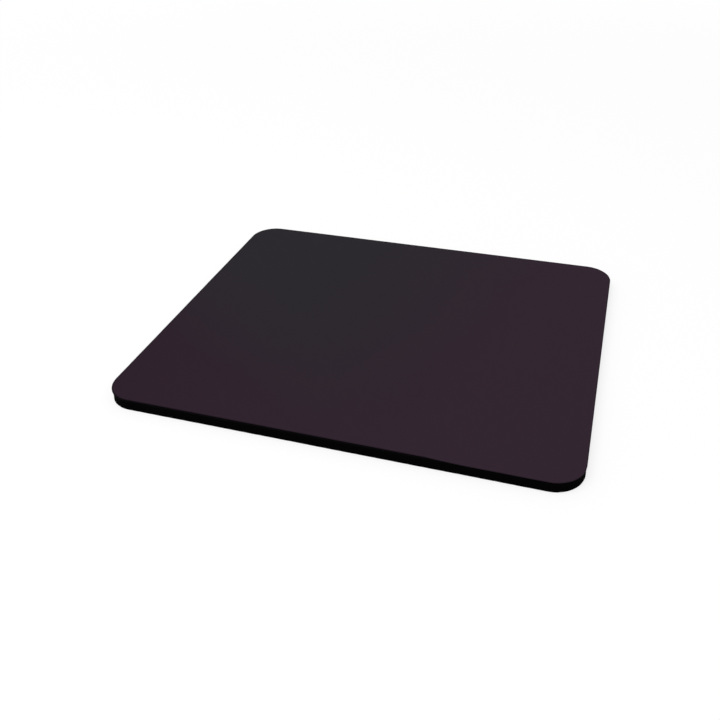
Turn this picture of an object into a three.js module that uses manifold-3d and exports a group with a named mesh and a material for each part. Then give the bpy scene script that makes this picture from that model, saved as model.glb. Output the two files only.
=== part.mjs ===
// A desk pad for a computer mouse: a knitted cloth face bonded to a black foam rubber base.
// Three sheets are laminated and die-cut together, so they share one rounded outline.
// Millimetres, +Z up. X runs along the long side and +Y away from the user.
// The origin is on the desk, under the middle of the pad.

import * as THREE from "three";
import { mergeVertices } from "three/addons/utils/BufferGeometryUtils.js";
import Module from "manifold-3d";

const wasm = await Module();
wasm.setup();

// Whole pad.
const PAD_LENGTH = 235;
const PAD_WIDTH = 197;
const PAD_THICKNESS = 6;
const CORNER_RADIUS = 15;

// Upper layers of the laminate. The foam takes the rest of the thickness.
const CLOTH_THICKNESS = 0.5;
const FILM_THICKNESS = 0.1;

// Cut edge. The die pulls the cloth's rim down, and the foam springs back drawn in at mid height.
const RIM_ROLL_RADIUS = 0.35;
const FOAM_WAIST_DEPTH = 0.25;

// Non-slip underside: a chequer of flat lands and shallow pyramid pits.
const EMBOSS_PITCH = 4;
const EMBOSS_DEPTH = 0.25;

// How far a cutting shape runs past what it cuts.
const CUT_OVERRUN = 1;

// Steps of the round stretches.
const CORNER_STEPS = 12;
const ROLL_STEPS = 3;
const WAIST_STEPS = 4;

// Colours and roughness of the three layers.
const CLOTH_FINISH = { color: 0x302830, roughness: 0.95 };
const FILM_FINISH = { color: 0x151316, roughness: 0.6 };
const FOAM_FINISH = { color: 0x0b0a0b, roughness: 0.9 };

// Heights of the joints between the layers.
const FOAM_TOP = PAD_THICKNESS - CLOTH_THICKNESS - FILM_THICKNESS;
const FILM_TOP = PAD_THICKNESS - CLOTH_THICKNESS;

// The pad's outline, drawn in by an inset, anticlockwise from above.
function outlinePoints(inset) {
  const radius = CORNER_RADIUS - inset;
  const centreX = PAD_LENGTH / 2 - CORNER_RADIUS;
  const centreY = PAD_WIDTH / 2 - CORNER_RADIUS;
  const corners = [
    { x: centreX, y: centreY, start: 0 },
    { x: -centreX, y: centreY, start: Math.PI / 2 },
    { x: -centreX, y: -centreY, start: Math.PI },
    { x: centreX, y: -centreY, start: (3 * Math.PI) / 2 },
  ];
  return corners.flatMap(({ x, y, start }) =>
    Array.from({ length: CORNER_STEPS + 1 }, (_, step) => {
      const angle = start + (step / CORNER_STEPS) * (Math.PI / 2);
      return new THREE.Vector2(x + radius * Math.cos(angle), y + radius * Math.sin(angle));
    }),
  );
}

// A closed sheet with the pad's outline. Each ring of its edge profile gives a height and an inset,
// from the lowest ring to the highest.
function sheetGeometry(profile) {
  const rings = profile.map(({ z, inset }) => outlinePoints(inset).map(({ x, y }) => [x, y, z]));
  const count = rings[0].length;
  const lowerCentre = rings.length * count;
  const upperCentre = lowerCentre + 1;
  const vertices = [...rings.flat(), [0, 0, profile[0].z], [0, 0, profile.at(-1).z]];
  const triangles = [];
  for (let i = 0; i < count; i++) {
    const next = (i + 1) % count;
    for (let ring = 0; ring + 1 < rings.length; ring++) {
      const low = ring * count;
      const high = low + count;
      triangles.push([low + i, low + next, high + next], [low + i, high + next, high + i]);
    }
    const top = (rings.length - 1) * count;
    triangles.push([next, i, lowerCentre], [top + i, top + next, upperCentre]);
  }
  return bufferGeometry(vertices, triangles);
}

function bufferGeometry(vertices, triangles) {
  const geometry = new THREE.BufferGeometry();
  geometry.setAttribute("position", new THREE.Float32BufferAttribute(vertices.flat(), 3));
  geometry.setIndex(triangles.flat());
  return geometry;
}

// The foam's edge: full size at both faces and drawn in between them along half a sine wave.
function foamEdgeProfile() {
  return Array.from({ length: WAIST_STEPS + 1 }, (_, step) => {
    const share = step / WAIST_STEPS;
    return { z: share * FOAM_TOP, inset: FOAM_WAIST_DEPTH * Math.sin(share * Math.PI) };
  });
}

// The cloth's edge: upright, then a quarter round into the face.
function clothEdgeProfile() {
  const roll = Array.from({ length: ROLL_STEPS + 1 }, (_, step) => {
    const angle = (step / ROLL_STEPS) * (Math.PI / 2);
    return {
      z: PAD_THICKNESS - RIM_ROLL_RADIUS * (1 - Math.sin(angle)),
      inset: RIM_ROLL_RADIUS * (1 - Math.cos(angle)),
    };
  });
  return [{ z: FILM_TOP, inset: 0 }, ...roll];
}

// The foam slab before it is cut out: wider than the pad, with the pattern pressed into its
// underside. The cell over the origin is a flat land, and the pattern runs on past the outline.
function embossedSlab() {
  const cellsEachSide = (length) => Math.ceil(length / 2 / EMBOSS_PITCH);
  const columns = 2 * cellsEachSide(PAD_LENGTH) + 1;
  const rows = 2 * cellsEachSide(PAD_WIDTH) + 1;
  const startX = (-columns * EMBOSS_PITCH) / 2;
  const startY = (-rows * EMBOSS_PITCH) / 2;
  const slabTop = FOAM_TOP + CUT_OVERRUN;
  const vertices = [];
  const triangles = [];
  const cornerIndex = (column, row) => row * (columns + 1) + column;
  for (let row = 0; row <= rows; row++)
    for (let column = 0; column <= columns; column++)
      vertices.push([startX + column * EMBOSS_PITCH, startY + row * EMBOSS_PITCH, 0]);

  const middle = (columns - 1) / 2 + (rows - 1) / 2;
  for (let row = 0; row < rows; row++)
    for (let column = 0; column < columns; column++) {
      const a = cornerIndex(column, row);
      const b = cornerIndex(column + 1, row);
      const c = cornerIndex(column + 1, row + 1);
      const d = cornerIndex(column, row + 1);
      if ((column + row - middle) % 2 === 0) {
        triangles.push([a, c, b], [a, d, c]);
        continue;
      }
      const apex = vertices.length;
      const x = startX + (column + 1 / 2) * EMBOSS_PITCH;
      const y = startY + (row + 1 / 2) * EMBOSS_PITCH;
      vertices.push([x, y, EMBOSS_DEPTH]);
      triangles.push([b, a, apex], [c, b, apex], [d, c, apex], [a, d, apex]);
    }

  const top = vertices.length;
  vertices.push(
    [startX, startY, slabTop],
    [-startX, startY, slabTop],
    [-startX, -startY, slabTop],
    [startX, -startY, slabTop],
  );
  triangles.push([top, top + 1, top + 2], [top, top + 2, top + 3]);
  const along = (length, pointAt) => Array.from({ length: length + 1 }, (_, i) => pointAt(i));
  const sides = [
    along(columns, (i) => cornerIndex(i, 0)),
    along(rows, (i) => cornerIndex(columns, i)),
    along(columns, (i) => cornerIndex(columns - i, rows)),
    along(rows, (i) => cornerIndex(0, rows - i)),
  ];
  sides.forEach((edge, side) => {
    const here = top + side;
    const next = top + ((side + 1) % sides.length);
    for (let i = 0; i + 1 < edge.length; i++) triangles.push([edge[i], edge[i + 1], here]);
    triangles.push([edge.at(-1), next, here]);
  });
  return bufferGeometry(vertices, triangles);
}

// The inside of the die: the foam's edge profile, run on below the desk plane.
function foamCutter() {
  return sheetGeometry([{ z: -CUT_OVERRUN, inset: 0 }, ...foamEdgeProfile()]);
}

function solidFrom(geometry) {
  const merged = mergeVertices(geometry);
  return new wasm.Manifold(
    new wasm.Mesh({
      numProp: 3,
      vertProperties: merged.attributes.position.array,
      triVerts: new Uint32Array(merged.index.array),
    }),
  );
}

function geometryFrom(solid) {
  const { vertProperties, triVerts } = solid.getMesh();
  const geometry = new THREE.BufferGeometry();
  geometry.setAttribute("position", new THREE.BufferAttribute(vertProperties, 3));
  geometry.setIndex(new THREE.BufferAttribute(triVerts, 1));
  return geometry;
}

function mesh(name, geometry, finish) {
  geometry.computeVertexNormals();
  const material = new THREE.MeshStandardMaterial({ ...finish, metalness: 0 });
  const made = new THREE.Mesh(geometry, material);
  made.name = name;
  return made;
}

function clothTop() {
  return mesh("cloth_top", sheetGeometry(clothEdgeProfile()), CLOTH_FINISH);
}

function adhesiveFilm() {
  const edge = [
    { z: FOAM_TOP, inset: 0 },
    { z: FILM_TOP, inset: 0 },
  ];
  return mesh("adhesive_film", sheetGeometry(edge), FILM_FINISH);
}

function foamBase() {
  const cut = solidFrom(embossedSlab()).intersect(solidFrom(foamCutter()));
  return mesh("foam_base", geometryFrom(cut), FOAM_FINISH);
}

const pad = new THREE.Group();
pad.name = "mouse_pad";
pad.add(foamBase(), adhesiveFilm(), clothTop());

export default pad;
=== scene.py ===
"""Looks of a mouse pad: a knitted cloth face bonded to a black foam rubber base.

Metres, +Z up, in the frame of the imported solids. Each layer of the pad is a class that builds its
mesh and dresses it, and each finish is a frozen dataclass that makes one procedural material.
"""

import logging
import math
from dataclasses import dataclass, field
from enum import Enum
from typing import Any

import bpy
from bpy.types import Material, Mesh, Node, NodeSocket as Socket, NodeTree, Object
from mathutils import Matrix, Vector

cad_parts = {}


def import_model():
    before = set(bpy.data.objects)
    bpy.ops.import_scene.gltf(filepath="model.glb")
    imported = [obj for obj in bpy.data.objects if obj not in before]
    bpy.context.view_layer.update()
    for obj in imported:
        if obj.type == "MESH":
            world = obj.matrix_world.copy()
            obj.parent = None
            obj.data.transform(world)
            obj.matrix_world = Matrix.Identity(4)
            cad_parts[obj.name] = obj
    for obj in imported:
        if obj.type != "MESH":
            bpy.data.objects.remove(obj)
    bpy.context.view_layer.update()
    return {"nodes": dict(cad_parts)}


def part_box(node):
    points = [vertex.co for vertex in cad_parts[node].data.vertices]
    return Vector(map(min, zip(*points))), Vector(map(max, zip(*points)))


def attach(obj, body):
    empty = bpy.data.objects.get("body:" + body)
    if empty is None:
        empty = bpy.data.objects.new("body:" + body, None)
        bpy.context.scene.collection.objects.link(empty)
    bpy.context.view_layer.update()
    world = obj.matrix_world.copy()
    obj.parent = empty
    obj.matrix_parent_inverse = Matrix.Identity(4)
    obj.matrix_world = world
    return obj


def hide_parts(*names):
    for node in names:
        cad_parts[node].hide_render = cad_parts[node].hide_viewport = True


MM = 0.001
HALF = 0.5
BODY = "root"

LOG = logging.getLogger("mouse_pad")

Colour = tuple[float, float, float, float]

# A span runs from a start to an end. A pair is a place in a map, or a height with its inset.
Span = tuple[float, float]
Pair = tuple[float, float]

WHITE: Colour = (1.0, 1.0, 1.0, 1.0)


class Solid(Enum):
    """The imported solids, by the names of their nodes."""

    CLOTH = "cloth_top"
    FILM = "adhesive_film"
    FOAM = "foam_base"


class Slot(Enum):
    """The record's material slots."""

    CLOTH = "knit_cloth"
    FOAM = "foam_rubber"


class Ray(Enum):
    """The rays that see the floor and the sky as the picture shows them."""

    CAMERA = "Is Camera Ray"
    GLOSSY = "Is Glossy Ray"
    TRANSMISSION = "Is Transmission Ray"


def linear(red: float, green: float, blue: float) -> Colour:
    """Turns a colour's 8-bit display values into the shader's linear ones.

    Args:
        red: the red display value, from 0 to 255.
        green: the green display value.
        blue: the blue display value.

    Returns:
        The linear colour, with an alpha of 1.
    """
    low, slope, offset, power = 0.04045, 12.92, 0.055, 2.4
    shares = [value / 255 for value in (red, green, blue)]
    parts = [s / slope if s <= low else ((s + offset) / (1 + offset)) ** power for s in shares]
    return (parts[0], parts[1], parts[2], 1.0)


class Wire:
    """A number running through a node tree, which takes part in sums as a Python number does."""

    def __init__(self, bench: "NodeBench", socket: Socket) -> None:
        """Wraps an output socket of a node on the bench."""
        self.bench = bench
        self.socket = socket

    def __add__(self, other: "Number") -> "Wire":
        """This plus the other."""
        return self.bench.math("ADD", self, other)

    def __radd__(self, other: "Number") -> "Wire":
        """The other plus this."""
        return self.bench.math("ADD", other, self)

    def __sub__(self, other: "Number") -> "Wire":
        """This minus the other."""
        return self.bench.math("SUBTRACT", self, other)

    def __rsub__(self, other: "Number") -> "Wire":
        """The other minus this."""
        return self.bench.math("SUBTRACT", other, self)

    def __mul__(self, other: "Number") -> "Wire":
        """This times the other."""
        return self.bench.math("MULTIPLY", self, other)

    def __rmul__(self, other: "Number") -> "Wire":
        """The other times this."""
        return self.bench.math("MULTIPLY", other, self)

    def __truediv__(self, other: "Number") -> "Wire":
        """This over the other."""
        return self.bench.math("DIVIDE", self, other)

    def __rtruediv__(self, other: "Number") -> "Wire":
        """The other over this."""
        return self.bench.math("DIVIDE", other, self)

    def __pow__(self, other: "Number") -> "Wire":
        """This to the other's power."""
        return self.bench.math("POWER", self, other)

    def __rpow__(self, other: "Number") -> "Wire":
        """The other to this power."""
        return self.bench.math("POWER", other, self)

    def __neg__(self) -> "Wire":
        """This with its sign turned."""
        return self.bench.math("MULTIPLY", self, -1.0)

    def __abs__(self) -> "Wire":
        """This without its sign."""
        return self.bench.math("ABSOLUTE", self)

    def sine(self) -> "Wire":
        """The sine of this angle."""
        return self.bench.math("SINE", self)

    def cosine(self) -> "Wire":
        """The cosine of this angle."""
        return self.bench.math("COSINE", self)

    def fraction(self) -> "Wire":
        """What is left of this past the whole number below it."""
        return self.bench.math("FRACT", self)

    def at_least(self, low: "Number") -> "Wire":
        """This, or low where this is less."""
        return self.bench.math("MAXIMUM", self, low)

    def at_most(self, high: "Number") -> "Wire":
        """This, or high where this is more."""
        return self.bench.math("MINIMUM", self, high)

    def below(self, limit: "Number") -> "Wire":
        """1 where this is under the limit, and 0 elsewhere."""
        return self.bench.math("LESS_THAN", self, limit)

    def past(self, reach: "Number") -> "Wire":
        """How far this lies past a reach on either side of zero, with its sign."""
        return self - self.at_most(reach).at_least(-reach)

    def across(self, other: "Wire") -> "Wire":
        """The distance that this and the other make at right angles."""
        return (self * self + other * other) ** 0.5

    def ease(self, span: Span) -> "Wire":
        """Climbs smoothly from 0 to 1.

        Args:
            span: where the climb starts and where it ends.

        Returns:
            The eased share, held at 0 and 1 past the ends.
        """
        settings = {"interpolation_type": "SMOOTHSTEP"}
        inputs = {"Value": self, "From Min": span[0], "From Max": span[1]}
        return Wire(self.bench, self.bench.node("ShaderNodeMapRange", settings, inputs).outputs[0])


Number = float | Wire


class NodeBench:
    """Makes and links the nodes of one tree."""

    # The Mix node's sockets for a share and two colours, and for the mixed colour.
    MIX_INPUTS = (0, 6, 7)
    MIX_OUTPUT = 2

    def __init__(self, tree: NodeTree) -> None:
        """Starts work on a tree."""
        self.tree = tree

    def node(
        self,
        kind: str,
        settings: dict[str, Any] | None = None,
        inputs: dict[str | int, Any] | None = None,
    ) -> Node:
        """Adds a node.

        Args:
            kind: the node's type.
            settings: the node's own settings, by name, which are set first.
            inputs: what its sockets take, by name or number: values, wires or sockets.

        Returns:
            The new node.
        """
        made = self.tree.nodes.new(kind)
        for name, value in (settings or {}).items():
            setattr(made, name, value)
        for key, value in (inputs or {}).items():
            self.feed(made.inputs[key], value)
        return made

    def feed(self, socket: Socket, value: Any) -> None:
        """Gives a socket its value or link.

        Args:
            socket: the input socket.
            value: a plain value, a wire or an output socket.
        """
        source = value.socket if isinstance(value, Wire) else value
        if isinstance(source, Socket):
            self.tree.links.new(source, socket)
        else:
            socket.default_value = source

    def math(self, operation: str, *values: Number) -> Wire:
        """Adds a Math node.

        Args:
            operation: what the node does.
            values: its numbers, in order.

        Returns:
            The result.
        """
        made = self.node("ShaderNodeMath", {"operation": operation}, dict(enumerate(values)))
        return Wire(self, made.outputs[0])

    def vectors(self, operation: str, *values: Any) -> Socket:
        """Adds a Vector Math node.

        Args:
            operation: what the node does.
            values: its vectors, in order.

        Returns:
            The resulting vector's socket.
        """
        settings = {"operation": operation}
        return self.node("ShaderNodeVectorMath", settings, dict(enumerate(values))).outputs[0]

    def axes(self, vector: Socket) -> tuple[Wire, Wire, Wire]:
        """Splits a vector into its X, Y and Z."""
        made = self.node("ShaderNodeSeparateXYZ", inputs={0: vector})
        return tuple(Wire(self, output) for output in made.outputs)

    def vector(self, x: Number, y: Number, z: Number) -> Socket:
        """Joins three numbers into a vector."""
        return self.node("ShaderNodeCombineXYZ", inputs={0: x, 1: y, 2: z}).outputs[0]

    def mix(self, share: Number, first: Any, second: Any) -> Socket:
        """Mixes two colours.

        Args:
            share: how much of the second colour to take.
            first: the colour at 0.
            second: the colour at 1.

        Returns:
            The mixed colour's socket.
        """
        inputs = dict(zip(self.MIX_INPUTS, (share, first, second)))
        return self.node("ShaderNodeMix", {"data_type": "RGBA"}, inputs).outputs[self.MIX_OUTPUT]

    def grain(self, place: Any, size: float, detail: float = 2.0) -> Wire:
        """Soft noise.

        Args:
            place: the coordinates that it follows.
            size: the size of its patches, in metres.
            detail: how many finer octaves it has.

        Returns:
            The noise, from about 0.3 to 0.7.
        """
        inputs = {"Vector": place, "Scale": 1 / size, "Detail": detail}
        return Wire(self, self.node("ShaderNodeTexNoise", inputs=inputs).outputs["Fac"])

    def cells(self, place: Any, size: float) -> Wire:
        """Packed round cells.

        Args:
            place: the coordinates that they follow.
            size: the size of a cell, in metres.

        Returns:
            The distance to the nearest cell's middle, as a share of the size.
        """
        inputs = {"Vector": place, "Scale": 1 / size}
        return Wire(self, self.node("ShaderNodeTexVoronoi", inputs=inputs).outputs["Distance"])

    def seen_by(self, *rays: Ray) -> Wire:
        """1 where one of these rays looks, and 0 elsewhere."""
        path = self.node("ShaderNodeLightPath").outputs
        return sum((Wire(self, path[ray.value]) for ray in rays), 0.0).at_most(1.0)


@dataclass(frozen=True)
class Look:
    """What changes over a surface: its colour, its roughness and the height of its relief."""

    colour: Socket
    roughness: Number
    height: Wire | None = None


@dataclass(frozen=True)
class Finish:
    """The constant values that every finish gives its shader."""

    name: str
    specular: float = 0.1
    relief_depth: float = 0.1 * MM
    sheen: float = 0.0
    sheen_tint: Colour = WHITE

    def look(self, bench: NodeBench, place: Socket) -> Look:
        """Makes what changes over the surface.

        Args:
            bench: the material's node bench.
            place: the object's own coordinates.

        Returns:
            The surface's look.
        """
        raise NotImplementedError

    def material(self) -> Material:
        """Makes the finish's material.

        Returns:
            The material, with the finish's look on one shader.
        """
        made = bpy.data.materials.new(self.name)
        made.use_nodes = True
        made.node_tree.nodes.clear()
        bench = NodeBench(made.node_tree)
        place = bench.node("ShaderNodeTexCoord").outputs["Object"]
        look = self.look(bench, place)
        shader = bench.node(
            "ShaderNodeBsdfPrincipled",
            inputs={
                "Base Color": look.colour,
                "Roughness": look.roughness,
                "Specular IOR Level": self.specular,
                "Sheen Weight": self.sheen,
                "Sheen Tint": self.sheen_tint,
            },
        )
        if look.height is not None:
            inputs = {"Distance": self.relief_depth, "Height": look.height}
            bump = bench.node("ShaderNodeBump", inputs=inputs)
            bench.feed(shader.inputs["Normal"], bump.outputs[0])
        bench.node("ShaderNodeOutputMaterial", inputs={"Surface": shader.outputs[0]})
        return made


@dataclass(frozen=True)
class KnitCloth(Finish):
    """A fine single-knit polyester face: rows of small V stitches, charcoal drifting to plum."""

    name: str = "knit_cloth"
    specular: float = 0.02
    relief_depth: float = 0.09 * MM
    sheen: float = 0.02
    sheen_tint: Colour = linear(190, 160, 185)
    face_height: float = 6 * MM

    # The colour drifts from charcoal at the far left to plum at the near left and to the right. The
    # plum carries painted shade: darker towards the left, lighter to the right.
    charcoal: Colour = linear(42.8, 40.2, 45.4)
    shaded_plum: Colour = linear(44.2, 31.3, 42.0)
    lit_plum: Colour = linear(50.5, 37.7, 48.2)
    plum_light_falloff: Span = (-182 * MM, 77 * MM)
    rightward: Span = (-66 * MM, 83 * MM)
    right_slant: float = 0.25
    nearward: Span = (18 * MM, 132 * MM)
    near_slant: float = 0.64
    waver_size: float = 70 * MM
    waver_reach: float = 24 * MM

    wale_pitch: float = 0.75 * MM
    course_pitch: float = 0.55 * MM
    leg_lean: float = 0.9
    yarn_roundness: float = 0.8
    sway_size: float = 5 * MM
    sway_reach: float = 1.2 * MM
    # How much the stitches' height lightens the colour: painted shade in the valleys of the knit.
    stitch_painted_shade: float = 0.22

    fibre_size: float = 0.12 * MM
    fibre_relief: float = 0.35
    fibre_shade: float = 0.3
    smoothest: float = 0.9
    fibre_roughness: float = 0.1
    ground_shade: float = 0.76

    # The cut rim, dark below its drop. To the right the face's colour runs further down over it.
    cut: Colour = (0.0012, 0.0010, 0.0012, 1.0)
    cut_drop: float = 0.04 * MM
    cut_blur: float = 0.06 * MM
    lower_run_side: Span = (48 * MM, 72 * MM)
    lower_run_drop: float = 0.42 * MM

    def stitches(self, bench: NodeBench, place: Socket) -> Wire:
        """The knit's relief, in wales that run away from the user and sway a little.

        Args:
            bench: the material's node bench.
            place: the object's own coordinates.

        Returns:
            The height of the yarn, 0 between the stitches and 1 on their backs.
        """
        x, y, _ = bench.axes(place)
        sway = (bench.grain(place, self.sway_size, 0.0) - HALF) * self.sway_reach
        across = abs(((x + sway) / self.wale_pitch).fraction() - HALF)
        along = ((y + sway) / self.course_pitch + across * self.leg_lean) * math.pi
        leg = (across * math.tau).sine().at_least(0.0)
        return leg**self.yarn_roundness * abs(along.sine()) ** self.yarn_roundness

    def drift(self, bench: NodeBench, place: Socket) -> Socket:
        """The slow change of the colour over the whole face, with painted shade that darkens the
        plum towards the left.

        Args:
            bench: the material's node bench.
            place: the object's own coordinates.

        Returns:
            The colour's socket.
        """
        x, y, _ = bench.axes(place)
        waver = (bench.grain(place, self.waver_size, 1.0) - HALF) * self.waver_reach
        rightward = (x + waver - y * self.right_slant).ease(self.rightward)
        nearward = (waver - y - x * self.near_slant).ease(self.nearward)
        plum_share = 1 - (1 - rightward) * (1 - nearward)
        # Painted shade: the plum is darker towards the left and lighter to the right.
        plum = bench.mix(x.ease(self.plum_light_falloff), self.shaded_plum, self.lit_plum)
        return bench.mix(plum_share, self.charcoal, plum)

    def look(self, bench: NodeBench, place: Socket) -> Look:
        """The drift of the colour, the stitches, the fibres and the cut rim.

        Args:
            bench: the material's node bench.
            place: the object's own coordinates.

        Returns:
            The cloth's look.
        """
        x, _, z = bench.axes(place)
        stitches = self.stitches(bench, place)
        fibres = bench.grain(place, self.fibre_size)
        # The stitches' height lightens the yarn's backs and darkens the valleys between them as
        # painted shade; the fibres add the yarn's own random tone.
        shade = stitches * self.stitch_painted_shade + fibres * self.fibre_shade + self.ground_shade
        shades = bench.vector(shade, shade, shade)
        face = bench.vectors("MULTIPLY", self.drift(bench, place), shades)
        lower_run = x.ease(self.lower_run_side) * self.lower_run_drop
        depth = self.face_height - z + (fibres - HALF) * self.cut_blur - lower_run
        cut_share = depth.ease((self.cut_drop, self.cut_drop + self.cut_blur))
        roughness = self.smoothest + fibres * self.fibre_roughness
        height = stitches + fibres * self.fibre_relief
        return Look(bench.mix(cut_share, face, self.cut), roughness, height)


@dataclass(frozen=True)
class CutFoam(Finish):
    """The knife-cut face of black foam rubber, with its fine cells laid open."""

    name: str = "cut_foam"
    specular: float = 0.008
    relief_depth: float = 0.12 * MM
    wall: Colour = (0.0020, 0.0019, 0.0020, 1.0)
    # The hollows of the cells are painted darker than the walls: painted shade.
    shaded_hollow: Colour = (0.0004, 0.0004, 0.0004, 1.0)
    wall_start: Span = (0.2, 0.65)
    hollow_roughness: float = 0.97
    wall_gloss: float = 0.08
    cell_size: float = 0.28 * MM

    def look(self, bench: NodeBench, place: Socket) -> Look:
        """The open cells, painted darker in their hollows as painted shade, and the walls between
        them.

        Args:
            bench: the material's node bench.
            place: the object's own coordinates.

        Returns:
            The cut foam's look.
        """
        wall_share = bench.cells(place, self.cell_size).ease(self.wall_start)
        colour = bench.mix(wall_share, self.shaded_hollow, self.wall)
        return Look(colour, self.hollow_roughness - wall_share * self.wall_gloss, wall_share)


@dataclass(frozen=True)
class MouldedSkin(Finish):
    """The embossed skin under the foam: a pebbled matt grain, a little smoother on the lands."""

    name: str = "moulded_skin"
    specular: float = 0.18
    relief_depth: float = 0.05 * MM
    # The pits are painted darker than the lands: painted shade in the emboss's hollows.
    land: Colour = (0.0060, 0.0057, 0.0060, 1.0)
    shaded_pit: Colour = (0.0030, 0.0028, 0.0030, 1.0)
    emboss_depth: float = 0.25 * MM
    land_roughness: float = 0.68
    pit_dullness: float = 0.2
    pebble_dullness: float = 0.1
    pebble_size: float = 0.5 * MM

    def look(self, bench: NodeBench, place: Socket) -> Look:
        """The pebbles, the smoother lands, and painted shade that darkens the pits.

        Args:
            bench: the material's node bench.
            place: the object's own coordinates.

        Returns:
            The skin's look.
        """
        _, _, z = bench.axes(place)
        pit_share = z.ease((0.0, self.emboss_depth))
        pebbles = bench.cells(place, self.pebble_size)
        dullness = pit_share * self.pit_dullness + pebbles * self.pebble_dullness
        # Painted shade: the pits are darker than the lands.
        colour = bench.mix(pit_share, self.land, self.shaded_pit)
        return Look(colour, self.land_roughness + dullness, 1 - pebbles)


@dataclass(frozen=True)
class BondFilm(Finish):
    """The dark hot-melt film between cloth and foam, of which only the cut edge shows."""

    name: str = "bond_film"
    specular: float = 0.05
    clear: Colour = (0.0015, 0.0013, 0.0015, 1.0)
    cloudy: Colour = (0.0040, 0.0035, 0.0040, 1.0)
    clear_roughness: float = 0.45
    cloud_dullness: float = 0.25
    streak_size: float = 1.5 * MM
    streak_share: Span = (0.35, 0.65)

    def look(self, bench: NodeBench, place: Socket) -> Look:
        """The film's clear and cloudy stretches.

        Args:
            bench: the material's node bench.
            place: the object's own coordinates.

        Returns:
            The film's look.
        """
        cloud = bench.grain(place, self.streak_size).ease(self.streak_share)
        colour = bench.mix(cloud, self.clear, self.cloudy)
        return Look(colour, self.clear_roughness + cloud * self.cloud_dullness)


@dataclass(frozen=True)
class CutYarn(Finish):
    """The ends of the knit's yarn where the die cut through them."""

    name: str = "cut_yarn"
    specular: float = 0.05
    roughness: float = 0.95
    dark: Colour = (0.0012, 0.0010, 0.0012, 1.0)
    pale: Colour = linear(44, 34, 42)
    shade_size: float = 0.6 * MM
    shade_share: Span = (0.35, 0.65)

    def look(self, bench: NodeBench, place: Socket) -> Look:
        """The change of shade from yarn to yarn."""
        shade = bench.grain(place, self.shade_size).ease(self.shade_share)
        return Look(bench.mix(shade, self.dark, self.pale), self.roughness)


@dataclass(frozen=True)
class RimPoint:
    """A point of the outline, with the outward direction there and the share of the way round."""

    place: Vector
    outward: Vector
    way_share: float

    def moved(self, inset: float, z: float) -> Vector:
        """This point drawn in by an inset, at a height."""
        flat = self.place - self.outward * inset
        return Vector((flat.x, flat.y, z))


@dataclass(frozen=True)
class Outline:
    """The rounded rectangle that the die cuts."""

    length: float
    width: float
    corner_radius: float = 15 * MM
    corner_steps: int = 24
    side_step: float = 4 * MM

    @property
    def area(self) -> float:
        """The area inside."""
        return self.length * self.width - (4 - math.pi) * self.corner_radius**2

    def corner(self, quarter: int) -> tuple[Vector, float]:
        """A corner's centre, and the angle at which its arc starts.

        Args:
            quarter: the corner's number, anticlockwise from the far right one.

        Returns:
            The centre and the angle.
        """
        start = quarter * math.pi / 2
        middle = start + math.pi / 4
        reach_x = math.copysign(self.length / 2 - self.corner_radius, math.cos(middle))
        reach_y = math.copysign(self.width / 2 - self.corner_radius, math.sin(middle))
        return Vector((reach_x, reach_y)), start

    def rim(self) -> list[RimPoint]:
        """The outline's points, anticlockwise from above.

        Returns:
            Points round each corner, and along each side at about the side step.
        """
        found: list[tuple[Vector, Vector]] = []
        for quarter in range(4):
            centre, start = self.corner(quarter)
            for step in range(self.corner_steps + 1):
                angle = start + step / self.corner_steps * math.pi / 2
                outward = Vector((math.cos(angle), math.sin(angle)))
                found.append((centre + outward * self.corner_radius, outward))
            span = self.corner(quarter + 1)[0] - centre
            count = round(span.length / self.side_step)
            last = found[-1][0]
            found += [(last + span * (step / count), outward) for step in range(1, count)]
        places = [place for place, _ in found]
        steps = [(b - a).length for a, b in zip(places, places[1:] + places[:1])]
        around = sum(steps)
        return [
            RimPoint(place, outward, sum(steps[:index]) / around)
            for index, (place, outward) in enumerate(found)
        ]


@dataclass(frozen=True)
class FlatMap:
    """A slab laid out flat: its wide face, the edge unfolded round it, and a small hidden face."""

    outline: Outline
    edge_run: float
    tuck_share: float = 0.14
    gap: float = 1 * MM

    name: str = "OFBake"

    @property
    def span(self) -> float:
        """The length of surface that the map's side stands for."""
        return self.outline.length + 2 * (self.edge_run + self.gap)

    @property
    def middle(self) -> float:
        """The height in the map of the wide face's middle."""
        return (self.outline.width / 2 + self.edge_run + self.gap) / self.span

    @property
    def tuck_middle(self) -> float:
        """The height in the map of the hidden face's middle."""
        return 1 - (self.tuck_share * self.outline.width / 2 + self.gap) / self.span

    def wide(self, place: Vector) -> Pair:
        """Where a point of the wide face, or one unfolded beside it, goes in the map."""
        return (HALF + place.x / self.span, self.middle + place.y / self.span)

    def tucked(self, place: Vector) -> Pair:
        """Where a point of the hidden face goes in the map."""
        share = self.tuck_share / self.span
        return (HALF + place.x * share, self.tuck_middle + place.y * share)


@dataclass(frozen=True)
class KnifeWander:
    """The waver of a knife-cut edge, as waves round it: each one's count, height and start."""

    waves: tuple[tuple[int, float, float], ...]

    def at(self, way_share: float) -> float:
        """How far the edge lies inside its outline.

        Args:
            way_share: the share of the way round.

        Returns:
            The inset there, never below zero.
        """
        turn = math.tau * way_share
        return sum(
            height * (1 + math.sin(count * turn + start)) for count, height, start in self.waves
        )


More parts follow.
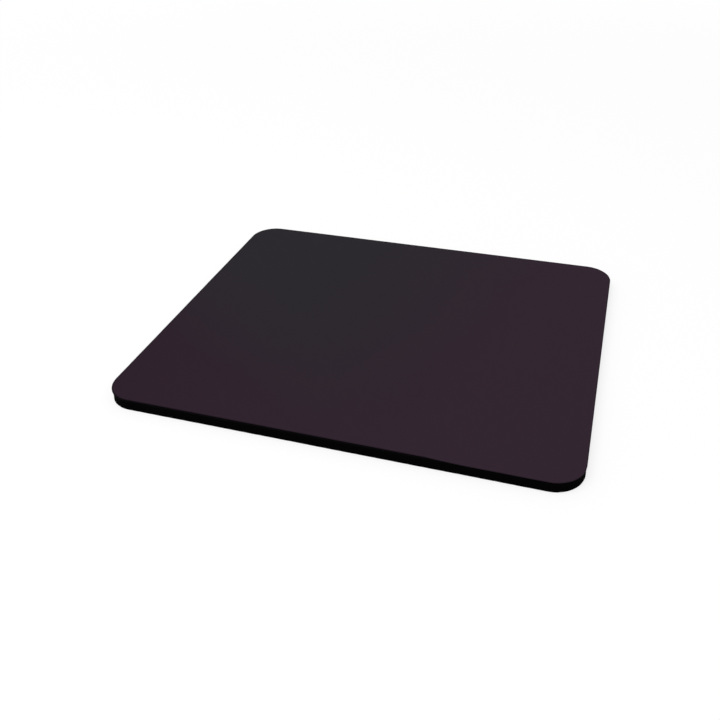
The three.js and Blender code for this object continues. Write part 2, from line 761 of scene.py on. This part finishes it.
def slab_mesh(name: str, rings: list[list[Vector]]) -> Mesh:
    """Closes a stack of rings into a slab.

    Args:
        name: the mesh's name.
        rings: rings of as many points each, anticlockwise from above, from the lowest to the last.

    Returns:
        A closed mesh, with one face across each end.
    """
    count = len(rings[0])
    faces: list[list[int]] = [list(reversed(range(count)))]
    for low in range(0, count * (len(rings) - 1), count):
        for index in range(count):
            here = low + index
            following = low + (index + 1) % count
            faces.append([here, following, following + count, here + count])
    top = count * (len(rings) - 1)
    faces.append(list(range(top, top + count)))
    mesh = bpy.data.meshes.new(name)
    mesh.from_pydata([point for ring in rings for point in ring], [], faces)
    mesh.validate()
    return mesh


def place_object(name: str, mesh: Mesh) -> Object:
    """Puts a mesh in the scene, at the origin.

    Args:
        name: the object's name.
        mesh: its mesh.

    Returns:
        The new object.
    """
    made = bpy.data.objects.new(name, mesh)
    bpy.context.scene.collection.objects.link(made)
    return made


def smooth(mesh: Mesh, sharp_degrees: float) -> None:
    """Shades a mesh smooth, but for the edges whose faces meet at a sharper angle."""
    mesh.shade_smooth()
    mesh.set_sharp_from_angle(angle=math.radians(sharp_degrees))


class NodeForm:
    """A Geometry Nodes tree with named inputs, run once on an object and left as a plain mesh."""

    def __init__(self, name: str) -> None:
        """Starts an empty tree that takes and gives geometry.

        Args:
            name: the tree's name.
        """
        self.tree = bpy.data.node_groups.new(name, "GeometryNodeTree")
        for way in ("INPUT", "OUTPUT"):
            self.tree.interface.new_socket("Geometry", in_out=way, socket_type="NodeSocketGeometry")
        self.bench = NodeBench(self.tree)
        self.entry = self.bench.node("NodeGroupInput")
        self.values: dict[str, Any] = {}

    @property
    def source(self) -> Socket:
        """The geometry of the object that the tree runs on."""
        return self.entry.outputs[0]

    @property
    def place(self) -> tuple[Wire, Wire, Wire]:
        """Each point's X, Y and Z."""
        return self.bench.axes(self.bench.node("GeometryNodeInputPosition").outputs[0])

    def takes(self, name: str, value: Any, kind: str = "NodeSocketFloat") -> Wire:
        """Gives the tree a named input.

        Args:
            name: the input's name.
            value: what it is set to.
            kind: the type of its socket.

        Returns:
            The input, as it comes into the tree.
        """
        socket = self.tree.interface.new_socket(name, in_out="INPUT", socket_type=kind)
        self.values[socket.identifier] = value
        return Wire(self.bench, self.entry.outputs[name])

    def give(self, geometry: Socket, finishes: dict[str, tuple[Finish, Wire | bool]]) -> None:
        """Sends a geometry out of the tree, with nothing left as an instance.

        Args:
            geometry: the geometry's socket.
            finishes: its finishes, by the names of their inputs, each with where it goes.
        """
        real = self.bench.node("GeometryNodeRealizeInstances", inputs={0: geometry})
        dressed = real.outputs[0]
        for name, (finish, where) in finishes.items():
            material = self.takes(name, finish.material(), "NodeSocketMaterial")
            inputs = {"Geometry": dressed, "Selection": where, "Material": material}
            dressed = self.bench.node("GeometryNodeSetMaterial", inputs=inputs).outputs[0]
        self.bench.node("NodeGroupOutput", inputs={0: dressed})

    def run(self, piece: Object) -> None:
        """Replaces an object's mesh by what the tree makes of it.

        Args:
            piece: the object.
        """
        modifier = piece.modifiers.new(self.tree.name, "NODES")
        modifier.node_group = self.tree
        for identifier, value in self.values.items():
            modifier[identifier] = value
        graph = bpy.context.evaluated_depsgraph_get()
        mesh = bpy.data.meshes.new_from_object(piece.evaluated_get(graph), depsgraph=graph)
        piece.modifiers.remove(modifier)
        before = piece.data
        piece.data = mesh
        mesh.name = piece.name
        bpy.data.meshes.remove(before)


@dataclass
class Emboss:
    """The chequer in the underside: flat lands and shallow bowls, with a land over the origin."""

    pitch: float = 4 * MM
    depth: float = 0.25 * MM
    steps: int = 5
    bowl_power: float = 0.7
    overrun: float = 1 * MM

    # Keeps rounding along a bowl's border from lifting it off the desk.
    border_slack: float = 1e-4

    def cells(self, length: float) -> int:
        """The odd number of cells that covers a length."""
        return 2 * math.ceil(length / 2 / self.pitch) + 1

    def slab(self, form: NodeForm, outline: Outline, top: float) -> Socket:
        """Adds a slab wider than the pad, with the chequer in its underside.

        Args:
            form: the tree that gets the nodes.
            outline: the outline that the slab covers.
            top: the foam's upper face.

        Returns:
            The slab's geometry socket.
        """
        bench = form.bench
        pitch = form.takes("Pitch", self.pitch)
        depth = form.takes("Depth", self.depth)
        columns = form.takes("Columns", self.cells(outline.length), "NodeSocketInt")
        rows = form.takes("Rows", self.cells(outline.width), "NodeSocketInt")
        height = form.takes("Height", top + self.overrun)
        block = bench.node(
            "GeometryNodeMeshCube",
            inputs={
                "Size": bench.vector(columns * pitch, rows * pitch, height),
                "Vertices X": columns * self.steps + 1,
                "Vertices Y": rows * self.steps + 1,
                "Vertices Z": 2,
            },
        )
        x, y, z = form.place
        chequer = (x / pitch * math.pi).cosine() * (y / pitch * math.pi).cosine()
        bowl = (-chequer - self.border_slack).at_least(0.0) ** self.bowl_power * depth
        raised = bench.vector(0.0, 0.0, height / 2 + bowl * z.below(0.0))
        inputs = {"Geometry": block.outputs[0], "Offset": raised}
        return bench.node("GeometryNodeSetPosition", inputs=inputs).outputs[0]


@dataclass
class FoamBase:
    """The black foam rubber base: die-cut, with a drawn-in edge and an embossed underside."""

    outline: Outline
    bottom: float
    top: float
    waist_depth: float = 0.25 * MM
    waist_steps: int = 12
    emboss: Emboss = field(default_factory=Emboss)
    wander: KnifeWander = KnifeWander(
        ((7, 0.03 * MM, 0.4), (19, 0.025 * MM, 2.1), (53, 0.015 * MM, 4.0))
    )
    level_facing: float = 0.5
    least_reach: float = MM / 1000
    sharp_degrees: float = 40.0

    def cut_body(self) -> Mesh:
        """The foam as the knife leaves it.

        Returns:
            A closed mesh with the waisted edge, which runs on half a step below the desk.
        """
        rim = self.outline.rim()
        # No ring lies in the desk's plane, where the slab's lands are.
        shares = [(step - HALF) / self.waist_steps for step in range(self.waist_steps + 1)]
        rings = []
        for share in shares + [1.0]:
            z = self.bottom + share * (self.top - self.bottom)
            inset = self.waist_depth * math.sin(share * math.pi)
            rings.append([point.moved(inset + self.wander.at(point.way_share), z) for point in rim])
        return slab_mesh("foam_base", rings)

    def build(self) -> Object:
        """Cuts the embossed slab to the outline.

        Returns:
            The base, mapped and dressed.
        """
        piece = place_object("foam_rubber_base", self.cut_body())
        form = NodeForm("embossed_foam")
        slab = self.emboss.slab(form, self.outline, self.top)
        settings = {"operation": "INTERSECT", "solver": "MANIFOLD"}
        cut = form.bench.node("GeometryNodeMeshBoolean", settings)
        # Triangles, because a bent square would be split one way by the cut and another later.
        for part in (form.source, slab):
            flat = form.bench.node("GeometryNodeTriangulate", inputs={0: part})
            form.bench.feed(cut.inputs["Mesh 2"], flat.outputs[0])
        facing_up = self.facing_up(form)
        mapped = self.lay_out(form, cut.outputs[0], facing_up)
        skin = MouldedSkin(emboss_depth=self.emboss.depth)
        underneath = facing_up.below(-self.level_facing)
        form.give(mapped, {"Cut foam": (CutFoam(), True), "Moulded skin": (skin, underneath)})
        form.run(piece)
        smooth(piece.data, self.sharp_degrees)
        return piece

    def facing_up(self, form: NodeForm) -> Wire:
        """How far each face looks up.

        Args:
            form: the tree that makes the foam.

        Returns:
            The share, from -1 underneath to 1 on top.
        """
        bench = form.bench
        _, _, up = bench.axes(bench.node("GeometryNodeInputNormal").outputs[0])
        settings = {"data_type": "FLOAT", "domain": "FACE"}
        held = bench.node("GeometryNodeFieldOnDomain", settings, {0: up})
        return Wire(bench, held.outputs[0])

    def lay_out(self, form: NodeForm, geometry: Socket, facing_up: Wire) -> Socket:
        """Lays the foam out flat, with its cut edge unfolded round the underside.

        Args:
            form: the tree that makes the foam.
            geometry: the cut foam's socket.
            facing_up: how far each face looks up.

        Returns:
            The socket of the foam with its map.
        """
        flat = FlatMap(self.outline, self.top - self.bottom)
        radius = form.takes("Corner radius", self.outline.corner_radius)
        core_x = form.takes("Length", self.outline.length) / 2 - radius
        core_y = form.takes("Width", self.outline.width) / 2 - radius
        x, y, z = form.place
        upper = 1 - facing_up.below(self.level_facing)
        edge = 1 - upper - facing_up.below(-self.level_facing)
        away_x, away_y = x.past(core_x), y.past(core_y)
        reach = away_x.across(away_y).at_least(self.least_reach)
        run_share = (z - self.bottom) * edge / reach
        scale = (1 - upper * (1 - flat.tuck_share)) / flat.span
        u = (x + away_x * run_share) * scale + HALF
        v = (y + away_y * run_share) * scale + flat.middle
        v = v + upper * (flat.tuck_middle - flat.middle)
        stored = form.bench.node(
            "GeometryNodeStoreNamedAttribute",
            {"data_type": "FLOAT2", "domain": "CORNER"},
            {"Geometry": geometry, "Name": flat.name, "Value": form.bench.vector(u, v, 0.0)},
        )
        return stored.outputs[0]

    def finish(self) -> Object:
        """Builds the base and sets it in the frame.

        Returns:
            The base.
        """
        piece = self.build()
        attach(piece, BODY)
        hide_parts(Solid.FOAM.value)
        return piece


@dataclass
class FilmLayer:
    """The bond film between cloth and foam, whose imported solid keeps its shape."""

    solid: Object

    def finish(self) -> Object:
        """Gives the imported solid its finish.

        Returns:
            The film.
        """
        self.solid.data.materials.clear()
        self.solid.data.materials.append(BondFilm().material())
        return self.solid


@dataclass
class ClothFace:
    """The knitted face: a thin sheet whose rim the die has pressed down and rolled over."""

    outline: Outline
    bottom: float
    top: float
    roll_radius: float = 0.35 * MM
    roll_steps: int = 6
    press_depth: float = 0.1 * MM
    press_reach: float = 1.2 * MM
    inner_insets: tuple[float, ...] = (0.8 * MM, 1.5 * MM, 2.5 * MM, 4 * MM, 7 * MM)
    wander: KnifeWander = KnifeWander(
        ((7, 0.03 * MM, 0.4), (31, 0.02 * MM, 1.2), (97, 0.012 * MM, 5.0))
    )
    sharp_degrees: float = 50.0

    def height(self, inset: float) -> float:
        """The face's height at an inset from the rim."""
        return self.top - self.press_depth * math.exp(-inset / self.press_reach)

    def edge(self) -> list[Pair]:
        """The rim's profile.

        Returns:
            Heights and insets, from the underside up and in over the face.
        """
        shoulder = self.height(self.roll_radius) - self.roll_radius
        profile = [(self.bottom, 0.0), (shoulder, 0.0)]
        for step in range(1, self.roll_steps + 1):
            angle = step / self.roll_steps * math.pi / 2
            rise = self.roll_radius * math.sin(angle)
            profile.append((shoulder + rise, self.roll_radius * (1 - math.cos(angle))))
        return profile + [(self.height(inset), inset) for inset in self.inner_insets]

    def build(self) -> Object:
        """Makes the sheet.

        Returns:
            The sheet, mapped and dressed.
        """
        rim = self.outline.rim()
        edge = self.edge()
        rings = []
        for z, inset in edge:
            fade = math.exp(-inset / self.press_reach)
            rings.append([p.moved(inset + fade * self.wander.at(p.way_share), z) for p in rim])
        mesh = slab_mesh("cloth_face", rings)
        self.lay_out(mesh, rim, edge)
        smooth(mesh, self.sharp_degrees)
        mesh.materials.append(KnitCloth(face_height=self.top).material())
        return place_object("cloth_face", mesh)

    def lay_out(self, mesh: Mesh, rim: list[RimPoint], edge: list[Pair]) -> None:
        """Lays the sheet out flat, with its rim unfolded round the face.

        Args:
            mesh: the sheet's mesh, ring by ring, with its hidden face first.
            rim: the outline's points.
            edge: the rim's profile, as heights and insets.
        """
        unfolded = [edge[-1][1]]
        for upper, lower in zip(edge[:0:-1], edge[-2::-1]):
            unfolded.append(unfolded[-1] - math.dist(upper, lower))
        places = [point.moved(inset, 0.0) for inset in reversed(unfolded) for point in rim]
        flat = FlatMap(self.outline, -unfolded[-1])
        layer = mesh.uv_layers.new(name=flat.name)
        for loop in mesh.loops:
            layer.uv[loop.index].vector = flat.wide(places[loop.vertex_index])
        for index in mesh.polygons[0].loop_indices:
            hidden = mesh.vertices[mesh.loops[index].vertex_index].co
            layer.uv[index].vector = flat.tucked(hidden)

    def finish(self, yarn_ends: Object) -> Object:
        """Builds the cloth and sets it in the frame.

        Args:
            yarn_ends: the cut ends that stand out of its rim; not used.

        Returns:
            The cloth.
        """
        piece = self.build()
        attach(piece, BODY)
        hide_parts(Solid.CLOTH.value)
        return piece


@dataclass
class YarnEnds:
    """Short ends of cut yarn along the cloth's rim, about two to each stitch of the knit."""

    outline: Outline
    bottom: float
    top: float
    spacing: float = 0.3 * MM
    length: float = 0.2 * MM
    root_radius: float = 0.03 * MM
    tip_radius: float = 0.012 * MM
    sides: int = 4
    inset: float = 0.1 * MM
    lean: float = 0.9
    least_share: float = 0.35
    seed: int = 7

    def path(self) -> Mesh:
        """The line round the rim on which the ends stand.

        Returns:
            A mesh of edges alone.
        """
        middle = (self.bottom + self.top) / 2
        points = [point.moved(self.inset, middle) for point in self.outline.rim()]
        count = len(points)
        mesh = bpy.data.meshes.new("yarn_ends")
        mesh.from_pydata(points, [(i, (i + 1) % count) for i in range(count)], [])
        return mesh

    def headings(self, form: NodeForm, tangent: Socket, seed: Wire) -> Socket:
        """Points each end outward, with a lean of its own.

        Args:
            form: the tree that makes the ends.
            tangent: the line's direction at each end.
            seed: the seed of the leans.

        Returns:
            The socket of each end's rotation.
        """
        bench = form.bench
        lean = form.takes("Lean", self.lean)
        outward = bench.vectors("CROSS_PRODUCT", tangent, (0.0, 0.0, 1.0))
        waver = bench.node(
            "FunctionNodeRandomValue",
            {"data_type": "FLOAT_VECTOR"},
            {"Min": (-1.0,) * 3, "Max": (1.0,) * 3, "Seed": seed},
        )
        spread = bench.vectors("MULTIPLY", waver.outputs[0], bench.vector(lean, lean, lean))
        heading = bench.vectors("ADD", outward, spread)
        settings, inputs = {"axis": "Z"}, {"Vector": heading}
        return bench.node("FunctionNodeAlignRotationToVector", settings, inputs).outputs[0]

    def build(self) -> Object:
        """Sets an end at each step along the rim.

        Returns:
            All the ends, as one piece.
        """
        piece = place_object("cut_yarn_ends", self.path())
        form = NodeForm("yarn_ends")
        bench = form.bench
        spacing = form.takes("Spacing", self.spacing)
        length = form.takes("Length", self.length)
        seed = form.takes("Seed", self.seed, "NodeSocketInt")
        curve = bench.node("GeometryNodeMeshToCurve", inputs={0: form.source})
        inputs = {"Curve": curve.outputs[0], "Length": spacing}
        points = bench.node("GeometryNodeCurveToPoints", {"mode": "LENGTH"}, inputs)
        cone = bench.node(
            "GeometryNodeMeshCone",
            inputs={
                "Vertices": self.sides,
                "Radius Top": self.tip_radius,
                "Radius Bottom": self.root_radius,
                "Depth": length,
            },
        )
        # By number, because the sockets for a plain number share their names with a vector's.
        sizes = bench.node(
            "FunctionNodeRandomValue",
            {"data_type": "FLOAT"},
            {2: self.least_share, 3: 1.0, "Seed": seed + 1},
        )
        ends = bench.node(
            "GeometryNodeInstanceOnPoints",
            inputs={
                "Points": points.outputs[0],
                "Instance": cone.outputs[0],
                "Rotation": self.headings(form, points.outputs["Tangent"], seed),
                "Scale": sizes.outputs[1],
            },
        )
        form.give(ends.outputs[0], {"Cut yarn": (CutYarn(), True)})
        form.run(piece)
        return piece

    def finish(self) -> Object:
        """Builds the ends and sets them in the frame.

        Returns:
            The ends.
        """
        piece = self.build()
        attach(piece, BODY)
        return piece


@dataclass
class Studio:
    """A plain pale floor and soft light from all round, with one large lamp above."""

    outline: Outline
    floor_half: float = 6.0
    floor_gap: float = 0.05 * MM
    floor_grey: float = 0.8
    glow_share: float = 0.75
    fade_reach: Span = (0.3, 1.2)
    clear_reach: float = 1.2 * MM
    sky_strength: float = 0.68
    lamp_power: float = 12.5
    lamp_size: float = 1.6
    lamp_place: tuple[float, float, float] = (-0.5, -0.5, 1.5)

    def floor(self) -> None:
        """Lays the floor just under the pad."""
        half, z = self.floor_half, -self.floor_gap
        corners = [(-half, -half, z), (half, -half, z), (half, half, z), (-half, half, z)]
        mesh = bpy.data.meshes.new("floor")
        mesh.from_pydata(corners, [], [(0, 1, 2, 3)])
        mesh.materials.append(self.floor_material())
        place_object("floor", mesh)

    def floor_material(self) -> Material:
        """Makes the floor's finish.

        Returns:
            A material that shows white but for the pad's shadow, lights the pad as a pale grey, and
            is clear from below and to the pad's underside.
        """
        made = bpy.data.materials.new("pale_floor")
        made.use_nodes = True
        made.node_tree.nodes.clear()
        bench = NodeBench(made.node_tree)
        shown = bench.seen_by(Ray.CAMERA, Ray.GLOSSY, Ray.TRANSMISSION)
        level = self.floor_grey + shown * (1 - self.floor_grey)
        grey = bench.vector(level, level, level)
        lit = bench.node("ShaderNodeBsdfDiffuse", inputs={"Color": grey})
        glow = bench.node("ShaderNodeEmission", inputs={"Color": WHITE, "Strength": 1.0})
        x, y, _ = bench.axes(bench.node("ShaderNodeTexCoord").outputs["Object"])
        far = x.across(y).ease(self.fade_reach)
        # No glow under the pad, or it would shine out of the pits that the cut edge opens.
        radius = self.outline.corner_radius
        away_x = x.past(self.outline.length / 2 - radius)
        away_y = y.past(self.outline.width / 2 - radius)
        bare = 1 - away_x.across(away_y).below(radius)
        glow_share = shown * bare * (self.glow_share + far * (1 - self.glow_share))
        inputs = {0: glow_share, 1: lit.outputs[0], 2: glow.outputs[0]}
        solid = bench.node("ShaderNodeMixShader", inputs=inputs)
        clear = bench.node("ShaderNodeBsdfTransparent", inputs={"Color": WHITE})
        length = Wire(bench, bench.node("ShaderNodeLightPath").outputs["Ray Length"])
        beneath = Wire(bench, bench.node("ShaderNodeNewGeometry").outputs["Backfacing"])
        open_share = (beneath + length.below(self.clear_reach)).at_most(1.0)
        inputs = {0: open_share, 1: solid.outputs[0], 2: clear.outputs[0]}
        surface = bench.node("ShaderNodeMixShader", inputs=inputs)
        bench.node("ShaderNodeOutputMaterial", inputs={"Surface": surface.outputs[0]})
        return made

    def sky(self) -> None:
        """Lights the scene evenly, and shows white where the camera looks past the floor."""
        world = bpy.data.worlds.new("soft_sky")
        bpy.context.scene.world = world
        world.use_nodes = True
        world.node_tree.nodes.clear()
        bench = NodeBench(world.node_tree)
        shown = bench.seen_by(Ray.CAMERA, Ray.TRANSMISSION)
        strength = self.sky_strength + shown * (1 - self.sky_strength)
        sky = bench.node("ShaderNodeBackground", inputs={"Color": WHITE, "Strength": strength})
        bench.node("ShaderNodeOutputWorld", inputs={"Surface": sky.outputs[0]})

    def lamp(self) -> None:
        """Hangs the large soft lamp, aimed at the pad."""
        data = bpy.data.lights.new("soft_lamp", "AREA")
        data.shape = "DISK"
        data.size = self.lamp_size
        data.energy = self.lamp_power
        made = bpy.data.objects.new("soft_lamp", data)
        made.location = self.lamp_place
        made.rotation_mode = "QUATERNION"
        made.rotation_quaternion = (-Vector(self.lamp_place)).to_track_quat("-Z", "Y")
        bpy.context.scene.collection.objects.link(made)

    def build(self) -> None:
        """Sets up the floor, the light and the plain view of colours."""
        self.floor()
        self.sky()
        self.lamp()
        bpy.context.scene.view_settings.view_transform = "Standard"


@dataclass
class PhotoCamera:
    """The photograph's camera: where it stands, how it is turned and what it frames."""

    azimuth_degrees: float = 17.537
    elevation_degrees: float = 35.462
    roll_degrees: float = -1.132
    distance: float = 413.642 * MM
    aim: tuple[float, float, float] = (4.859 * MM, -24.608 * MM, 0.0)
    focal_px: float = 773.821
    frame_px: float = 720.0
    centre_px: float = 379.609
    sensor_width: float = 36.0
    near_share: float = 0.01

    def build(self) -> None:
        """Makes the camera and gives it to the scene."""
        azimuth = math.radians(self.azimuth_degrees)
        elevation = math.radians(self.elevation_degrees)
        level = math.cos(elevation)
        back = Vector((math.sin(azimuth) * level, -math.cos(azimuth) * level, math.sin(elevation)))
        level_right = Vector((math.cos(azimuth), math.sin(azimuth), 0.0))
        right = Matrix.Rotation(math.radians(self.roll_degrees), 3, back) @ level_right
        turn = Matrix((right, back.cross(right), back)).transposed().to_4x4()
        data = bpy.data.cameras.new("photo_camera")
        data.sensor_width = self.sensor_width
        data.lens = self.sensor_width * self.focal_px / self.frame_px
        data.shift_x = (self.frame_px / 2 - self.centre_px) / self.frame_px
        data.clip_start = self.distance * self.near_share
        made = bpy.data.objects.new("photo_camera", data)
        made.matrix_world = Matrix.Translation(Vector(self.aim) + back * self.distance) @ turn
        bpy.context.scene.collection.objects.link(made)
        bpy.context.scene.camera = made


def report(piece: Object) -> None:
    """Logs a finished piece's name and size."""
    millimetres = " x ".join(f"{length / MM:.2f}" for length in piece.dimensions)
    LOG.info("%s: %d faces, %s mm", piece.name, len(piece.data.polygons), millimetres)


def main() -> None:
    """Builds the pad's pieces in order, from the desk up, and the studio round them."""
    logging.basicConfig(level=logging.INFO, format="%(name)s: %(message)s")
    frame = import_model()
    foam_low, foam_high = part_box(Solid.FOAM.value)
    cloth_low, cloth_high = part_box(Solid.CLOTH.value)
    outline = Outline(foam_high.x - foam_low.x, foam_high.y - foam_low.y)

    foam = FoamBase(outline, foam_low.z, foam_high.z).finish()
    film = FilmLayer(frame["nodes"][Solid.FILM.value]).finish()
    yarn_ends = YarnEnds(outline, cloth_low.z, cloth_high.z).finish()
    cloth = ClothFace(outline, cloth_low.z, cloth_high.z).finish(yarn_ends)
    bpy.context.view_layer.update()
    for piece in (foam, film, yarn_ends, cloth):
        report(piece)

    Studio(outline).build()
    PhotoCamera().build()


if __name__ == "__main__":
    main()
